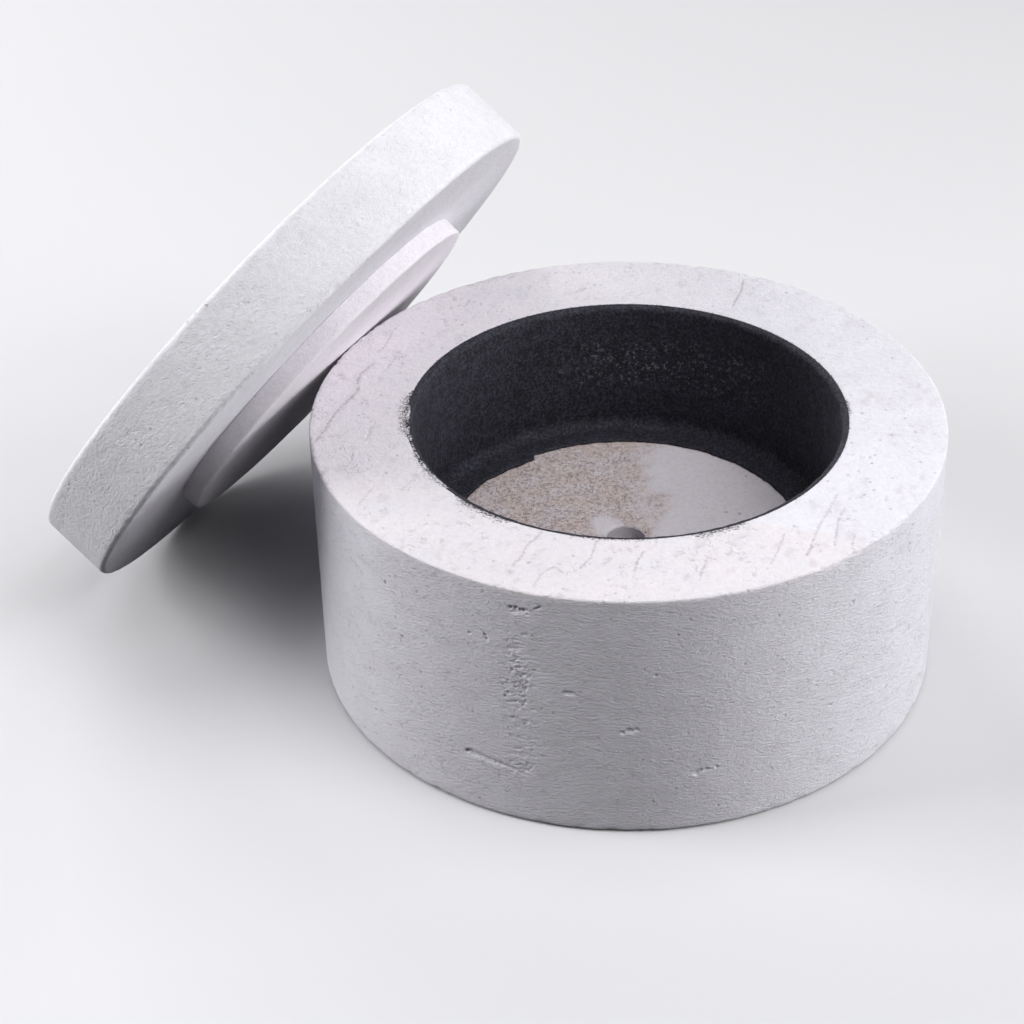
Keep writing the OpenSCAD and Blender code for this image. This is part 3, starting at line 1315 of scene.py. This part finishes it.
    def build_plug(self) -> None:
        """Make the plug and set it down."""
        edge = fillet(self.plug - self.plug_edge, self.plug_thick - self.plug_edge, self.plug_edge, 0, 90)
        edge[-1] = Station(self.plug - self.plug_edge, self.plug_thick, 1.5 * MM)
        foot = Station(self.plug, 0.0, 0.8 * MM)
        bm = turned([Station(0.0, 0.0, 8 * MM), foot, *edge, Station(0.0, self.plug_thick)], self.steps)
        self.wear_down(bm, None)
        look = dict(skin=tone(234, 230, 237), raw=tone(238, 233, 239), pitted=0.6, relief=0.2 * MM)
        self.dress(bm, Piece("fibre_plug", "lid_plug", Rides.LID, Slot.PLUG_FIBRE), look)


# ---------------------------------------------------------------------------------------------
# Studio


@dataclass(frozen=True)
class SoftBox:
    """One square soft lamp.

    Attributes:
        name: Name of the lamp.
        azimuth: Direction it stands in, degrees anticlockwise from +X.
        elevation: Degrees above the bench.
        power: Watts.
        width: Side of the lamp.
        away: Distance from the kiln.
    """

    name: str
    azimuth: float
    elevation: float
    power: float
    width: float = 0.7
    away: float = 1.4

    def hang(self) -> None:
        """Hang the lamp, turned towards the kiln."""
        light = bpy.data.lights.new(self.name, "AREA")
        light.shape = "SQUARE"
        light.size = self.width
        light.energy = self.power
        lamp = bpy.data.objects.new(self.name, light)
        around, up = math.radians(self.azimuth), math.radians(self.elevation)
        aim = Vector((math.cos(around) * math.cos(up), math.sin(around) * math.cos(up), math.sin(up)))
        lamp.location = aim * self.away
        lamp.rotation_euler = aim.to_track_quat("Z", "Y").to_euler()
        bpy.context.scene.collection.objects.link(lamp)


@dataclass
class Studio:
    """Pale floor, pale surroundings, soft lamps and the camera.

    Attributes:
        floor_tone: Colour of the floor as the camera sees it.
        floor_bounce: Colour by which it lights the kiln.
        sky_tone: Colour of the surroundings.
        ambient: Strength by which they light the kiln.
        floor_reach: Half the floor's width.
        floor_drop: How far it lies under the kiln.
        spot: Where the camera stands.
        tilt: Degrees it looks down.
        roll: Degrees it is turned about its own axis.
        lens: Its focal length in millimetres on a 36 mm sensor.
        lamps: The soft lamps.
    """

    floor_tone: Colour = tone(216, 216, 219)
    floor_bounce: Colour = tone(60, 60, 61)
    sky_tone: Colour = tone(242, 242, 244)
    ambient: float = 0.02
    floor_reach: float = 1.3
    floor_drop: float = 0.0001
    spot: tuple[float, float, float] = (-0.029515, -0.511753, 0.388950)
    tilt: float = 34.32
    roll: float = -1.4
    lens: float = 84.23
    lamps: tuple[SoftBox, ...] = (
        SoftBox("lamp_right_low", 0, 8, 15.0),
        SoftBox("lamp_back_left", 120, 30, 7.0),
        SoftBox("lamp_left_low", 180, 8, 8.9),
        SoftBox("lamp_left", 180, 30, 10.8),
        SoftBox("lamp_front", 315, 55, 8.1),
        SoftBox("lamp_front_right", 330, 30, 5.9),
        SoftBox("lamp_top", 90, 88, 4.0),
    )

    def lay_floor(self) -> None:
        """Lay the floor just under the kiln."""
        bm = bmesh.new()
        bmesh.ops.create_grid(bm, x_segments=1, y_segments=1, size=self.floor_reach)
        bmesh.ops.translate(bm, verts=bm.verts[:], vec=(0, 0, -self.floor_drop))
        mesh = bpy.data.meshes.new("studio_floor")
        bm.to_mesh(mesh)
        bm.free()
        floor = bpy.data.objects.new("studio_floor", mesh)
        bpy.context.scene.collection.objects.link(floor)
        bench = Bench("studio_floor", 0.9, 0.1)
        shown = bench.blend(bench.seen(), self.floor_bounce, self.floor_tone)
        bench.wire(bench.shader.inputs["Base Color"], shown)
        mesh.materials.append(bench.material)

    def set_world(self) -> None:
        """Make the surroundings dim for the kiln and pale for the camera."""
        world = bpy.data.worlds.new("studio_world")
        bpy.context.scene.world = world
        world.use_nodes = True
        tree = Tree(world.node_tree)
        back = tree.nodes["Background"].inputs
        tree.wire(back["Color"], self.sky_tone)
        tree.wire(back["Strength"], tree.span(tree.seen(), 0.0, 1.0, self.ambient, 1.0))

    def set_camera(self) -> None:
        """Set the camera where the photograph was taken from."""
        tilt, roll = math.radians(self.tilt), math.radians(self.roll)
        data = bpy.data.cameras.new("photo_camera")
        data.lens = self.lens
        data.sensor_width = 36.0
        data.clip_start = 0.01
        camera = bpy.data.objects.new("photo_camera", data)
        turn = Matrix.Rotation(math.pi / 2 - tilt, 4, "X") @ Matrix.Rotation(roll, 4, "Z")
        camera.matrix_world = Matrix.Translation(self.spot) @ turn
        bpy.context.scene.collection.objects.link(camera)
        bpy.context.scene.camera = camera

    def build(self) -> None:
        """Set up the whole studio."""
        bpy.context.scene.view_settings.view_transform = "Standard"
        self.set_camera()
        self.lay_floor()
        self.set_world()
        for lamp in self.lamps:
            lamp.hang()


def main() -> None:
    """Build the pieces in order and light them."""
    logging.basicConfig(level=logging.INFO, format="%(name)s: %(message)s")
    Studio().build()
    kiln = KilnBody.from_frame()
    kiln.build()
    wash_low, wash_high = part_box("floor_wash")
    coat = AbsorberCoat(kiln, ring=46 * MM)
    coat.build()
    wash_hole = kiln.vent + 1 * MM
    FloorWash(coat, wash_hole, outer=wash_high.x, low=wash_low.z, high=wash_high.z).build()
    lid = Lid(plug=50.5 * MM)
    lid.build_disc()
    lid.build_plug()


if __name__ == "__main__":
    main()
